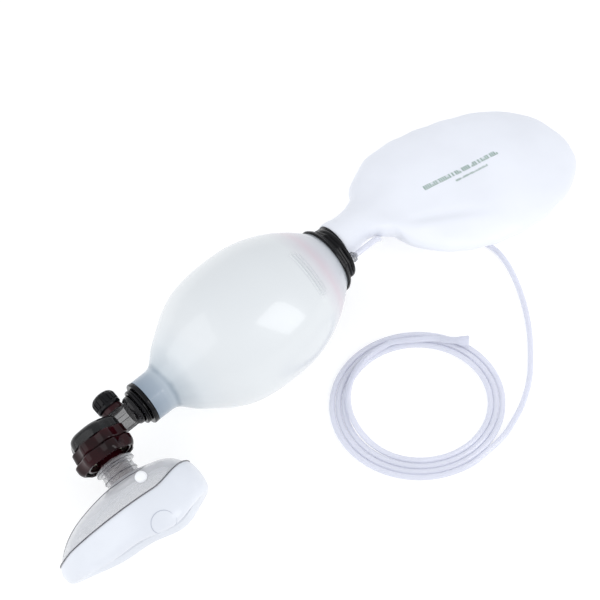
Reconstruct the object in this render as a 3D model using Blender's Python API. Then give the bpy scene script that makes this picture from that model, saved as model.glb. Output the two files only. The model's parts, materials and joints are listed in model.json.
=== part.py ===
"""Silicone bag valve mask (manual resuscitator), adult size, lying ready for use.

Metres, +Z up.  The squeeze bag's axis runs along +X, from the patient valve to the
oxygen reservoir, and everything lies on the plane z = 0.  Lengths along an axis are
written in millimetres and turned into metres by MM.
"""

import math

import bmesh
import bpy
from mathutils import Matrix, Vector

MM = 0.001
GAP = 0.3                       # clearance left between touching pieces, mm

# ---------------------------------------------------------------- driving sizes (mm)
ORIGIN_X, ORIGIN_Y = 179.5, -17.2    # centre of the footprint, from the neck flange
BAG_RADIUS = 63.6
BAG_LENGTH = 206.3              # neck flange to intake flange
BAG_WALL = 2.4
NECK_RADIUS = 19.4
AXIS_HEIGHT = BAG_RADIUS        # the bag rests on the table
VALVE_DROP = 10.5               # mask axis below the horizontal, degrees
MASK_LEAN = 6.0                 # mask axis away from square to the arm, degrees
MASK_ROLL = 12.0                # chin end raised, degrees
HOUSING_X = -50.5               # mask axis crosses the bag axis here
POPOFF_X = -25.6                # pop-off valve axis crosses the bag axis here
ARM_FLATS = 21.0                # hexagonal arm, across its flats
PATIENT_PORT_RADIUS = 11.0      # 22 mm outer cone
PATIENT_BORE_RADIUS = 7.7       # 15 mm inner cone
RESERVOIR_OFFSET = 8.0          # reservoir port centre, away from the bag axis
NIPPLE_Y, NIPPLE_Z = -17.4, 9.8     # oxygen nipple centre, from the bag axis
AIR_FLAP = (-14.0, -3.0)            # flap centres, y and z from the bag axis
RELIEF_FLAP = (-10.8, -12.6)
FILM_WALL = 0.8
TUBE_RADIUS = 2.6
COIL_INSIDE = (194.4, -136.8, 60.0, 52.8)   # centre and half axes of the inside edge
COIL_OUTSIDE = (192.4, -136.4, 79.0, 71.2)
COIL_HEIGHT = 5.4
COIL_TURN = 148.0               # direction of the coil's long half axis, degrees

# Travel that the moving pieces need (the joints use the same values)
DISC_TRAVEL = 2.5
FLAP_TRAVEL = 1.2

SEGMENTS = 32


# ---------------------------------------------------------------- scene and materials
def clear_scene():
    """Remove whatever the scene holds, so that the script always starts empty."""
    for item in list(bpy.data.objects):
        bpy.data.objects.remove(item)


def make_material(name, colour, roughness, alpha=1.0, metallic=0.0):
    """A Principled BSDF material with one colour."""
    material = bpy.data.materials.new(name)
    material.use_nodes = True
    shader = material.node_tree.nodes["Principled BSDF"]
    shader.inputs["Base Color"].default_value = (*colour, 1.0)
    shader.inputs["Roughness"].default_value = roughness
    shader.inputs["Metallic"].default_value = metallic
    shader.inputs["Alpha"].default_value = alpha
    return material


clear_scene()
SILICONE = make_material("silicone", (0.86, 0.88, 0.90), 0.35)
CUSHION = make_material("cushion_silicone", (0.80, 0.83, 0.90), 0.40)
CLEAR = make_material("clear_polycarbonate", (0.80, 0.81, 0.84), 0.10, 0.6)
SMOKE = make_material("smoke_polysulfone", (0.16, 0.16, 0.16), 0.15, 0.8)
BURGUNDY = make_material("burgundy_polysulfone", (0.10, 0.01, 0.02), 0.15)
BLACK = make_material("black_polysulfone", (0.02, 0.02, 0.025), 0.25)
VALVE_RUBBER = make_material("valve_silicone", (0.75, 0.72, 0.62), 0.45)
SEAL_RUBBER = make_material("seal_rubber", (0.05, 0.05, 0.05), 0.60)
STEEL = make_material("spring_steel", (0.60, 0.60, 0.62), 0.25, 1.0, 1.0)
FILM = make_material("reservoir_film", (0.82, 0.84, 0.92), 0.35)
TUBING = make_material("clear_tubing", (0.72, 0.74, 0.80), 0.15, 0.8)


# ---------------------------------------------------------------- placing
def make_frame(name, origin, columns, parent):
    """An empty at origin (mm) whose local axes are the three given directions."""
    frame = bpy.data.objects.new(name, None)
    bpy.context.scene.collection.objects.link(frame)
    rotation = Matrix([Vector(column).normalized() for column in columns]).transposed()
    frame.parent = parent
    frame.matrix_local = Matrix.Translation(Vector(origin) * MM) @ rotation.to_4x4()
    return frame


def square_frame(name, origin, z_axis, x_hint, parent):
    """A frame along z_axis whose x axis is as near as it can be to x_hint."""
    z_axis = Vector(z_axis).normalized()
    y_axis = z_axis.cross(Vector(x_hint)).normalized()
    return make_frame(name, origin, (y_axis.cross(z_axis), y_axis, z_axis), parent)


X, Y, Z = Vector((1, 0, 0)), Vector((0, 1, 0)), Vector((0, 0, 1))
drop = math.radians(VALVE_DROP)
lean = math.radians(MASK_LEAN)
roll = math.radians(MASK_ROLL)
# Square to the arm, then leaning away from the bag
SIDE = Vector((0, -math.cos(drop), -math.sin(drop)))
MASK_AXIS = (SIDE * math.cos(lean) - X * math.sin(lean)).normalized()
level = MASK_AXIS.cross(Z).normalized()
level = level if level.x > 0 else -level
MASK_LONG = Matrix.Rotation(-roll, 3, MASK_AXIS) @ level
if MASK_LONG.z < 0:
    MASK_LONG = Matrix.Rotation(roll, 3, MASK_AXIS) @ level

ASSEMBLY = make_frame("assembly", (-ORIGIN_X, -ORIGIN_Y, 0), (X, Y, Z), None)
BAG_FRAME = make_frame("bag_frame", (0, 0, AXIS_HEIGHT), (Y, Z, X), ASSEMBLY)
VALVE_FRAME = square_frame("valve_frame", (0, 0, AXIS_HEIGHT), X, SIDE, ASSEMBLY)
HOUSING_ORIGIN = Vector((HOUSING_X, 0, AXIS_HEIGHT))
HOUSING_FRAME = square_frame("housing_frame", HOUSING_ORIGIN, MASK_AXIS, X, ASSEMBLY)
MASK_FRAME = square_frame("mask_frame", HOUSING_ORIGIN, MASK_AXIS, MASK_LONG, ASSEMBLY)
POPOFF_FRAME = square_frame("popoff_frame", (POPOFF_X, 0, AXIS_HEIGHT), -SIDE, X, ASSEMBLY)


# ---------------------------------------------------------------- mesh helpers
def finish_object(name, bm, material, parent, offset=(0, 0, 0), smooth_angle=40):
    """Turn a bmesh into a named, smooth-shaded object in its parent's frame."""
    bmesh.ops.recalc_face_normals(bm, faces=bm.faces)
    mesh = bpy.data.meshes.new(name)
    bm.to_mesh(mesh)
    bm.free()
    mesh.materials.append(material)
    mesh.shade_smooth()
    mesh.set_sharp_from_angle(angle=math.radians(smooth_angle))
    item = bpy.data.objects.new(name, mesh)
    bpy.context.scene.collection.objects.link(item)
    item.parent = parent
    item.location = Vector(offset) * MM
    return item


def no_lobes(angle):
    """A round section."""
    return 0.0


def lobes(count, phase=0.0):
    """A scalloped section: count round lobes, from -1 to 1 (phase in degrees)."""
    return lambda angle: math.cos(count * (angle - math.radians(phase)))


def polygon(sides, radius):
    """How far a polygon's edge stands inside its corner circle, in mm."""
    half = math.pi / sides

    def inset(angle):
        part = angle % (2 * half) - half
        return radius * math.cos(half) / math.cos(part) - radius
    return inset


def add_rings(bm, rings, closed):
    """Bridge rings of points; a one-point ring is a pole.  closed joins last to first."""
    made = [[bm.verts.new(point) for point in ring] for ring in rings]
    pairs = list(zip(made, made[1:]))
    if closed:
        pairs.append((made[-1], made[0]))
    for low, high in pairs:
        count = max(len(low), len(high))
        for i in range(count):
            j = (i + 1) % count
            corners = [low[i % len(low)], low[j % len(low)], high[j % len(high)], high[i % len(high)]]
            bm.faces.new(list(dict.fromkeys(corners)))


def turned(name, profile, material, parent, wave=no_lobes, segments=SEGMENTS, offset=(0, 0, 0)):
    """Solid of revolution about local z.

    profile is (radius, z) or (radius, z, depth of the wave), in mm.  It starts and
    ends on the axis, or it is a closed loop clear of the axis.
    """
    rings = []
    for radius, height, *depth in profile:
        if radius == 0:
            rings.append([Vector((0, 0, height)) * MM])
            continue
        ring = []
        for i in range(segments):
            angle = 2 * math.pi * i / segments
            wide = radius + (depth[0] * wave(angle) if depth else 0.0)
            ring.append(Vector((wide * math.cos(angle), wide * math.sin(angle), height)) * MM)
        rings.append(ring)
    bm = bmesh.new()
    add_rings(bm, rings, closed=profile[0][0] != 0)
    return finish_object(name, bm, material, parent, offset)


def tube_profile(outer, inner, low, high):
    """Closed profile of a plain ring, in mm."""
    return [(outer, low), (outer, high), (inner, high), (inner, low)]


def cutter(item):
    """Mark an object as a tool that shapes another one."""
    item.hide_render = True
    item.display_type = "WIRE"
    return item


def combine(target, tool, operation):
    """Join a tool to a piece, or cut it away, with an exact Boolean."""
    modifier = target.modifiers.new(tool.name, "BOOLEAN")
    modifier.operation = operation
    modifier.solver = "EXACT"
    modifier.object = cutter(tool)


def rod(name, radius, low, high, parent, offset=(0, 0, 0), segments=24):
    """A plain solid cylinder for use as a tool."""
    profile = [(0, low), (radius, low), (radius, high), (0, high)]
    return turned(name, profile, BLACK, parent, segments=segments, offset=offset)


def drill_ring(name, radius, circle, count, low, high, parent, centre=(0, 0)):
    """Several equal rods on a circle, as one tool."""
    bm = bmesh.new()
    for i in range(count):
        angle = 2 * math.pi * i / count
        middle = Vector((centre[0] + circle * math.cos(angle), centre[1] + circle * math.sin(angle)))
        rings = [[Vector((*middle, low)) * MM]]
        for height in (low, high):
            ring = []
            for k in range(8):
                turn = 2 * math.pi * k / 8
                ring.append(Vector((middle.x + radius * math.cos(turn),
                                    middle.y + radius * math.sin(turn), height)) * MM)
            rings.append(ring)
        rings.append([Vector((*middle, high)) * MM])
        add_rings(bm, rings, closed=False)
    return finish_object(name, bm, BLACK, parent)


# ---------------------------------------------------------------- squeeze bag
BAG_OUTLINE = [(19.4, 0.3), (19.5, 17), (21.5, 21.5), (26.5, 26.5), (33.5, 34), (42.5, 46.5),
               (51.5, 60), (59.0, 77), (62.8, 98), (63.6, 122), (62.2, 141), (57.4, 159),
               (50.4, 175), (41.0, 189.5), (33.5, 199.8), (29.8, 206.0)]


def squeeze_bag():
    """Self-inflating bag: a blown shell, open at the neck and at the intake end."""
    inside = [(radius - BAG_WALL, z) for radius, z in reversed(BAG_OUTLINE)]
    turned("squeeze_bag", BAG_OUTLINE + inside, SILICONE, BAG_FRAME)


def neck_adapter():
    """Flanged tube in the bag's neck, in which the patient valve swivels."""
    inner, outer, flange = 12.6, NECK_RADIUS - BAG_WALL - GAP, 19.6
    profile = [(flange, -3.9), (flange, 0), (outer, 0), (outer, 20), (outer - 1, 21),
               (inner, 21), (inner, -3.9)]
    turned("neck_adapter", profile, BLACK, BAG_FRAME)


# ---------------------------------------------------------------- intake end
def intake_valve():
    """Seat, post and disc of the one-way valve that refills the bag."""
    inner, outer = 24.2, 26.7
    profile = [(outer, 187), (outer, 206), (inner, 206), (inner, 200.5), (2.2, 200.5),
               (2.2, 198), (inner, 198), (inner, 187)]
    seat = turned("intake_valve_seat", profile, BURGUNDY, BAG_FRAME)
    holes = drill_ring("seat_holes", 3.2, 10.5, 8, 197, 201.5, BAG_FRAME)
    combine(seat, holes, "DIFFERENCE")
    post = [(0, 190.5), (4, 190.5), (4, 192), (1.9, 192), (1.9, 200.8), (3.4, 200.8),
            (3.4, 202.2), (0, 202.2)]
    turned("intake_valve_post", post, BURGUNDY, BAG_FRAME, segments=16)
    disc = [(17, 196.4), (17, 197.7), (2.3, 197.7), (2.3, 196.0), (5, 196.0), (5.5, 196.4)]
    turned("intake_valve_disc", disc, VALVE_RUBBER, BAG_FRAME)


def intake_rings():
    """Lip that clamps the bag, its seal, and the faceted ring that is turned by hand."""
    lip = [(30.0, 206.3), (30.2, 207.2), (30.0, 208.2), (24.0, 208.2), (24.0, 206.3)]
    turned("intake_flange", lip, BLACK, BAG_FRAME, segments=40)
    corner = 26.8
    grip = [(corner - 0.8, 208.5, 1), (corner, 209.3, 1), (corner, 213.7, 1),
            (corner - 0.8, 214.5, 1), (22.5, 214.5), (22.5, 208.5)]
    turned("grip_ring", grip, BLACK, BAG_FRAME, polygon(10, corner), segments=40)
    turned("intake_seal", tube_profile(21.9, 20.6, 206.6, 208.7), SEAL_RUBBER, BAG_FRAME, segments=24)


def inlet_manifold():
    """End plate with the reservoir port, the oxygen inlet and two safety flaps."""
    profile = [(0, 214.9), (20.2, 214.9), (20.2, 209), (22.2, 209), (22.2, 214.8),
               (25, 214.8), (25, 217.1), (24.5, 217.6), (0, 217.6)]
    plate = turned("inlet_manifold", profile, BLACK, BAG_FRAME)
    port = rod("port_hole", 12.6, 213, 219, BAG_FRAME, (RESERVOIR_OFFSET - 1, 0, 0))
    combine(plate, port, "DIFFERENCE")
    oxygen = rod("oxygen_hole", 0.9, 213, 219, BAG_FRAME, (0.91 * NIPPLE_Y, 0.91 * NIPPLE_Z, 0), 12)
    combine(plate, oxygen, "DIFFERENCE")
    for name, centre in (("air_holes", AIR_FLAP), ("relief_holes", RELIEF_FLAP)):
        holes = drill_ring(name, 0.7, 1.8, 4, 213, 219, BAG_FRAME, centre)
        combine(plate, holes, "DIFFERENCE")
    flap = [(0, 0), (3.2, 0), (3.2, 0.7), (0, 0.7)]
    inside, outside = 214.9 - GAP - 0.7, 217.6 + GAP
    turned("air_inlet_flap", flap, VALVE_RUBBER, BAG_FRAME, segments=16, offset=(*AIR_FLAP, inside))
    turned("relief_flap", flap, VALVE_RUBBER, BAG_FRAME, segments=16, offset=(*RELIEF_FLAP, outside))


def oxygen_nipple():
    """Barbed nipple that the oxygen tube is pushed on."""
    profile = [(3.6, 217.9), (3.6, 220.5), (4.8, 221.0), (4.8, 223.2), (3.2, 223.7), (2.5, 226.0),
               (1.2, 226.0), (1.2, 217.9)]
    turned("oxygen_nipple", profile, CLEAR, BAG_FRAME, segments=16, offset=(NIPPLE_Y, NIPPLE_Z, 0))


def reservoir():
    """Port tube, its stretched cuff and the inflated reservoir bag."""
    offset = (RESERVOIR_OFFSET, 0, 0)
    port = tube_profile(16.4, 13.2, 217.9, 231.5)
    turned("reservoir_port", port, CLEAR, BAG_FRAME, offset=offset)
    cuff = [(18.4, 218.6), (18.9, 219.6), (18.9, 230.8), (18.4, 231.8), (16.7, 231.8), (16.7, 218.6)]
    turned("reservoir_cuff", cuff, FILM, BAG_FRAME, offset=offset)
    # x, y, centre height, half width, half thickness
    sections = [(232.1, 8.5, 63.0, 18.0, 17.6), (247, 11, 60.5, 17.0, 15.2), (261, 12.5, 57, 19.5, 14),
                (272, 12.5, 53, 27, 14.2), (283, 12, 49, 40, 15), (300, 9.5, 43, 55, 17),
                (324, 5.5, 36, 66.5, 19), (352, 0, 30, 72.5, 20.5), (382, -6.5, 25, 74, 21.5),
                (410, -12, 21.5, 72, 21.2), (436, -17, 19.2, 66.5, 18.9), (458, -22, 16.8, 57, 16.4),
                (476, -26, 14.5, 44.5, 13.5), (488, -29, 12.8, 30, 9.6), (494.5, -30.5, 12, 14, 5)]
    outside = section_rings(sections, 0.0)
    inside = section_rings(sections, FILM_WALL)
    far_end, lining_end = Vector((496.5, -31, 12)) * MM, Vector((495.5, -30.8, 12)) * MM
    bm = bmesh.new()
    add_rings(bm, [[far_end]] + outside[::-1] + inside + [[lining_end]], closed=False)
    finish_object("reservoir_bag", bm, FILM, ASSEMBLY)


def section_rings(sections, inset):
    """Upright oval rings across the reservoir bag; inset gives the film's inner face."""
    rings = []
    for i, (x, y, height, width, thick) in enumerate(sections):
        before, after = sections[max(i - 1, 0)], sections[min(i + 1, len(sections) - 1)]
        along = X if i == 0 else Vector((after[0] - before[0], after[1] - before[1], 0)).normalized()
        across = Z.cross(along)
        ring = []
        for k in range(24):
            angle = 2 * math.pi * k / 24
            flat = across * ((width - inset) * math.cos(angle))
            ring.append((Vector((x, y, height)) + flat + Z * ((thick - inset) * math.sin(angle))) * MM)
        rings.append(ring)
    return rings


# ---------------------------------------------------------------- patient valve
def upper_valve_housing():
    """Cap, hexagonal arm and neck spigot, moulded in one piece, with their passages."""
    wave = lobes(6, 90)
    cap = [(0, -10.6), (14, -10.6), (18.0, -9.6, 0.8), (20.6, -7, 1.6), (21.6, -3.5, 2.2),
           (21.6, 1.2, 2.2), (0, 1.2)]
    body = turned("upper_valve_housing", cap, SMOKE, HOUSING_FRAME, wave, 48)
    corner = ARM_FLATS / 2 / math.cos(math.pi / 6)
    arm = turned("arm_tool", [(0, HOUSING_X), (corner, HOUSING_X), (corner, -13.2), (0, -13.2)],
                 SMOKE, VALVE_FRAME, segments=6)
    arm.rotation_euler = (0, 0, math.radians(-67))
    combine(body, arm, "UNION")
    clear = turned("arm_clearance", [(0, 1.3), (26.8, 1.3), (26.8, 40), (0, 40)], SMOKE,
                   HOUSING_FRAME, segments=32)
    combine(body, clear, "DIFFERENCE")
    root = turned("arm_root", [(0, -16), (10.4, -16), (12.6, -13), (13.2, -10), (12.3, -9.8),
                               (12.3, 12), (0, 12)], SMOKE, VALVE_FRAME)
    combine(body, root, "UNION")
    boss = rod("popoff_boss", 9.9, 2, 12.4, POPOFF_FRAME, segments=32)
    combine(body, boss, "UNION")
    combine(body, rod("arm_bore", 8.4, -32.6, 13, VALVE_FRAME), "DIFFERENCE")
    combine(body, rod("popoff_bore", 5.6, 1.7, 14, POPOFF_FRAME, segments=20), "DIFFERENCE")
    passage = rod("passage", 3.6, -37, -30, VALVE_FRAME, (-4.1, 0.6, 0), 14)
    combine(body, passage, "DIFFERENCE")
    combine(body, rod("cap_cavity", 16.0, -8.2, 3, HOUSING_FRAME, segments=32), "DIFFERENCE")


def swivel_rings():
    """Collar behind the neck flange, and the seal that runs in the neck."""
    collar = [(15.4, -8.9), (16.0, -8.2), (16.0, -5.2), (15.4, -4.3), (13.5, -4.3), (13.5, -8.9)]
    turned("swivel_collar", collar, BLACK, VALVE_FRAME)


def lower_valve_housing():
    """Lobed body with the valve seat and the expiratory holes."""
    wave = lobes(7, 180)
    profile = [(22.8, 1.5, 1.6), (23.4, 3.0, 1.8), (23.4, 9.6, 1.8), (22.2, 10.8, 1.2),
               (21.0, 11.4, 0.2), (21.0, 13.2, 0.2), (20.6, 14.6, 0.0), (20.6, 20.5, 0.0),
               (18.6, 20.5), (18.6, 14.0), (11.4, 14.0), (11.4, 23.4), (PATIENT_BORE_RADIUS, 23.4),
               (PATIENT_BORE_RADIUS, 11.6), (18.9, 11.6), (18.9, 1.5)]
    body = turned("lower_valve_housing", profile, BURGUNDY, HOUSING_FRAME, wave, 42)
    holes = drill_ring("expiratory_holes", 2.0, 15.0, 8, 10, 15, HOUSING_FRAME)
    combine(body, holes, "DIFFERENCE")


def exhalation_shroud():
    """Cover round the expiratory outlet, wider on the side away from the bag."""
    wave = lobes(7, 180)
    profile = [(24.4, 11.8, 1.2), (25.4, 13.2, 1.6), (25.4, 19.6, 1.6), (24.0, 21.6, 1.2),
               (22.6, 22.0, 0.6), (22.0, 21.2, 0.4), (23.0, 19.4, 0.4), (23.4, 12.4, 0.4)]
    turned("exhalation_shroud", profile, SMOKE, HOUSING_FRAME, wave, 42, (-1.2, 0, 0))


def patient_connector():
    """22 mm outer and 15 mm inner cone that the mask or a tracheal tube fits."""
    cone = PATIENT_PORT_RADIUS
    bore = PATIENT_BORE_RADIUS
    profile = [(cone + 1.6, 23.8), (cone + 1.6, 25.0), (cone + 0.15, 25.2), (cone - 0.1, 40.5),
               (cone - 0.6, 41.0), (bore, 41.0), (bore, 23.8)]
    turned("patient_connector", profile, BURGUNDY, HOUSING_FRAME)


def breathing_valves():
    """Lip valve under the cap, and the ring that closes the expiratory holes."""
    lip = [(0, 4.2), (15.5, 4.2), (15.5, 5.2), (7.0, 5.4), (5.2, 7.4), (1.2, 9.0), (0, 9.0)]
    turned("lip_valve", lip, VALVE_RUBBER, HOUSING_FRAME)
    turned("lip_valve_ring", tube_profile(18.3, 16.3, 1.7, 3.6), BURGUNDY, HOUSING_FRAME)
    turned("exhalation_diaphragm", tube_profile(18.2, 11.9, 14.3, 15.1), VALVE_RUBBER, HOUSING_FRAME)


# ---------------------------------------------------------------- pop-off valve
def popoff_valve():
    """Seat, disc, spring and ribbed cap of the pressure-limiting valve."""
    seat = [(9.0, 12.7), (9.0, 16.6), (7.4, 16.6), (7.0, 17.2), (5.7, 17.2), (5.7, 12.7)]
    turned("popoff_seat", seat, BURGUNDY, POPOFF_FRAME, segments=24)
    disc = [(0, 17.5), (6.8, 17.5), (6.8, 18.5), (1.6, 18.7), (1.4, 22.2), (0, 22.2)]
    turned("popoff_disc", disc, VALVE_RUBBER, POPOFF_FRAME, segments=24)
    ribs = lobes(16)
    cap = [(0, 27.6), (7.0, 27.6), (10.0, 27.0, 0.3), (10.9, 25.0, 0.4), (10.9, 13.2, 0.4),
           (9.5, 13.2), (9.5, 25.8), (0, 25.8)]
    turned("popoff_cap", cap, BLACK, POPOFF_FRAME, ribs, 48)
    popoff_spring()


def popoff_spring():
    """Round-wire compression spring between the disc and the cap."""
    low, high, radius, wire, turns, steps = 19.3, 25.0, 4.2, 0.4, 4, 12
    rings = []
    total = turns * steps
    for i in range(total + 1):
        angle = 2 * math.pi * i / steps
        centre = Vector((radius * math.cos(angle), radius * math.sin(angle), low + (high - low) * i / total))
        outward = Vector((math.cos(angle), math.sin(angle), 0))
        ring = []
        for k in range(6):
            turn = 2 * math.pi * k / 6
            ring.append((centre + outward * (wire * math.cos(turn)) + Z * (wire * math.sin(turn))) * MM)
        rings.append(ring)
    bm = bmesh.new()
    made = [[bm.verts.new(point) for point in ring] for ring in rings]
    for first, second in zip(made, made[1:]):
        for k in range(6):
            j = (k + 1) % 6
            bm.faces.new((first[k], first[j], second[j], second[k]))
    bm.faces.new(made[0])
    bm.faces.new(made[-1])
    finish_object("popoff_spring", bm, STEEL, POPOFF_FRAME)


# ---------------------------------------------------------------- mask
def smooth_step(value):
    """0 below 0, 1 above 1, smooth between."""
    value = min(max(value, 0.0), 1.0)
    return value * value * (3 - 2 * value)


def rim_depth(along):
    """Depth of the joint between shell and cushion: it rises at the chin."""
    return 69.5 - 9.0 * smooth_step((along - 18) / 34) + 1.5 * smooth_step((-along - 60) / 20)


def face_depth(along):
    """Depth of the cushion's contact edge, which follows a face from chin to nose."""
    return 87 + 11.5 * math.exp(-((along - 16) / 26) ** 2) + 6.0 * math.exp(-((along + 36) / 30) ** 2)


def mask_ring(nose, chin, width, taper, depth, count=36):
    """Egg-shaped ring: nose and chin are its reach from the port's axis, in mm."""
    middle, half = (chin - nose) / 2, (chin + nose) / 2
    ring = []
    for i in range(count):
        angle = 2 * math.pi * i / count
        along = middle + half * math.cos(angle)
        across = width * math.sin(angle) * (1 + taper * math.cos(angle))
        ring.append(Vector((along, across, depth(along) if callable(depth) else depth)) * MM)
    return ring


def crown_depth(along):
    """Depth of the shell's crown, lower towards the nose."""
    return 45.5 - 0.06 * along


def mask_shell():
    """Clear rigid dome with the 22 mm port collar."""
    def side(along):
        return (crown_depth(along) + rim_depth(along)) / 2

    def rim_low(along):
        return rim_depth(along) - 1.6

    def crown_under(along):
        return crown_depth(along) + 2.2
    outer = [mask_ring(16.4, 16.4, 16.4, 0, 26.0), mask_ring(16.4, 16.4, 16.4, 0, 28.6),
             mask_ring(14.4, 14.4, 14.4, 0, 29.6), mask_ring(14.4, 14.4, 14.4, 0, 41.0),
             mask_ring(19, 18, 17.5, 0, 43.2), mask_ring(47, 27, 22.5, 0.12, crown_depth),
             mask_ring(67, 41, 35.5, 0.20, side), mask_ring(77.5, 48.5, 41.5, 0.22, rim_low),
             mask_ring(80.5, 51.5, 44.2, 0.22, rim_low), mask_ring(80.5, 51.5, 44.2, 0.22, rim_depth)]
    inner = [mask_ring(75, 46, 39.5, 0.22, rim_depth), mask_ring(64.5, 39, 33.4, 0.20, side),
             mask_ring(45, 25.5, 21, 0.12, crown_under), mask_ring(17.5, 16.5, 15.8, 0, 45.6),
             mask_ring(11.5, 11.5, 11.5, 0, 43.0), mask_ring(11.5, 11.5, 11.5, 0, 26.0)]
    bm = bmesh.new()
    add_rings(bm, outer + inner, closed=True)
    finish_object("mask_shell", bm, CLEAR, MASK_FRAME)


def mask_cushion():
    """Soft skirt whose edge rolls inwards where it meets the face."""
    def start(along):
        return rim_depth(along) + 2 * GAP

    def third(along):
        return start(along) * 0.62 + face_depth(along) * 0.38

    def deep(along):
        return start(along) * 0.25 + face_depth(along) * 0.75

    def behind_face(along):
        return face_depth(along) - 3.6

    def lip(along):
        return face_depth(along) - 4.0

    def under_lip(along):
        return face_depth(along) - 6.4
    rings = [mask_ring(80.5, 51.5, 44.2, 0.22, start), mask_ring(82.0, 53.5, 46.6, 0.22, third),
             mask_ring(81.5, 53.5, 46.4, 0.21, deep), mask_ring(77.5, 50.5, 42.5, 0.20, face_depth),
             mask_ring(63, 38, 28.5, 0.15, lip), mask_ring(63, 38, 28.5, 0.15, under_lip),
             mask_ring(76.0, 48.8, 40.8, 0.20, behind_face),
             mask_ring(78.5, 50.5, 43.0, 0.21, third), mask_ring(75, 46, 39.5, 0.22, start)]
    bm = bmesh.new()
    add_rings(bm, rings, closed=True)
    finish_object("mask_cushion", bm, CUSHION, MASK_FRAME)


# ---------------------------------------------------------------- oxygen tube
TUBE_ROUTE = [(226.6, -17.4, 73.4), (236, -17.4, 73.4), (244, -17.2, 73.0), (251, -16.3, 70.2),
              (255.4, -14.9, 65), (258.4, -13, 59), (261.7, -10.8, 52.5), (266.4, -5.2, 41.4),
              (271.4, 1.6, 29.5), (277, 8, 19), (284, 12.2, 10.8), (293, 12.6, 5.8), (304, 7.6, 3.4),
              (316, -2, 2.8), (328.5, -15, 2.8), (340, -31, 2.8), (350.5, -48.5, 2.8), (358, -65, 2.8),
              (358, -80, 2.8), (353, -97, 2.8), (344.5, -115, 2.8), (332.5, -134.5, 2.8),
              (318, -153, 2.8), (301, -170.5, 2.8), (282, -186.5, 2.8), (259, -199.2, 2.8),
              (236, -207.6, 2.8), (216, -212.4, 2.8)]


def catmull_rom(points, spacing):
    """Points about spacing apart on a smooth curve through the given ones."""
    route = [Vector(point) for point in points]
    route = [2 * route[0] - route[1]] + route + [2 * route[-1] - route[-2]]
    fine = []
    for a, b, c, d in zip(route, route[1:], route[2:], route[3:]):
        for step in range(20):
            t = step / 20
            fine.append(0.5 * (2 * b + (c - a) * t + (2 * a - 5 * b + 4 * c - d) * t * t
                               + (3 * b - 3 * c + d - a) * t ** 3))
    fine.append(route[-2])
    length = sum((q - p).length for p, q in zip(fine, fine[1:]))
    count = round(length / spacing)
    even, travelled = [fine[0]], 0.0
    for p, q in zip(fine, fine[1:]):
        step = (q - p).length
        while len(even) < count and travelled + step >= length * len(even) / count:
            even.append(p.lerp(q, (length * len(even) / count - travelled) / step))
        travelled += step
    even.append(fine[-1])
    return even


def oxygen_tube():
    """The stretch of tube from the nipple to the coil."""
    curve = bpy.data.curves.new("oxygen_tube", "CURVE")
    curve.dimensions = "3D"
    curve.bevel_depth = TUBE_RADIUS * MM
    curve.bevel_resolution = 2
    curve.use_fill_caps = True
    points = catmull_rom(TUBE_ROUTE, 5 * TUBE_RADIUS)
    spline = curve.splines.new("POLY")
    spline.points.add(len(points) - 1)
    for target, point in zip(spline.points, points):
        target.co = (*(point * MM), 1.0)
    curve.materials.append(TUBING)
    tube = bpy.data.objects.new("oxygen_tube", curve)
    bpy.context.scene.collection.objects.link(tube)
    tube.parent = ASSEMBLY


def oxygen_tube_coil():
    """Outer shape of the tube's flat coil on the table, an oval ring wider on one side."""
    edge = 0.07
    section = [(0, 1.2), (edge, 0.2), (1 - edge, 0.2), (1, 1.2), (1, COIL_HEIGHT - 1.2),
               (1 - edge, COIL_HEIGHT), (edge, COIL_HEIGHT), (0, COIL_HEIGHT - 1.2)]
    turn = Matrix.Rotation(math.radians(COIL_TURN), 3, "Z")
    rings = []
    for share, height in section:
        x, y, long_half, short_half = (
            inner + share * (outer - inner) for inner, outer in zip(COIL_INSIDE, COIL_OUTSIDE))
        ring = []
        for i in range(48):
            angle = 2 * math.pi * i / 48
            flat = Vector((long_half * math.cos(angle), short_half * math.sin(angle), height))
            ring.append((turn @ flat + Vector((x, y, 0))) * MM)
        rings.append(ring)
    bm = bmesh.new()
    add_rings(bm, rings, closed=True)
    finish_object("oxygen_tube_coil", bm, TUBING, ASSEMBLY)


def tube_connector():
    """Soft flared socket on the tube's far end, for the oxygen outlet's spigot."""
    frame = square_frame("connector_frame", (249.7, -108.1, 10.7), Vector((0.68, -0.73, 0)), Z, ASSEMBLY)
    profile = [(3.4, 0), (3.7, 2), (3.9, 11), (4.9, 17), (4.9, 24), (3.1, 24), (3.1, 6), (1.6, 5), (1.6, 0)]
    turned("tube_connector", profile, TUBING, frame, segments=20)


# ---------------------------------------------------------------- assembly
squeeze_bag()
neck_adapter()
intake_valve()
intake_rings()
inlet_manifold()
oxygen_nipple()
reservoir()
upper_valve_housing()
swivel_rings()
lower_valve_housing()
exhalation_shroud()
patient_connector()
breathing_valves()
popoff_valve()
mask_shell()
mask_cushion()
oxygen_tube()
oxygen_tube_coil()
tube_connector()
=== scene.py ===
"""Looks of the bag valve mask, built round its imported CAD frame.

Lengths written as plain numbers are millimetres; MM turns them into metres.
"""

import json
import math

import bmesh
import bpy
from mathutils import Matrix, Vector, noise
from mathutils.bvhtree import BVHTree


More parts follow.
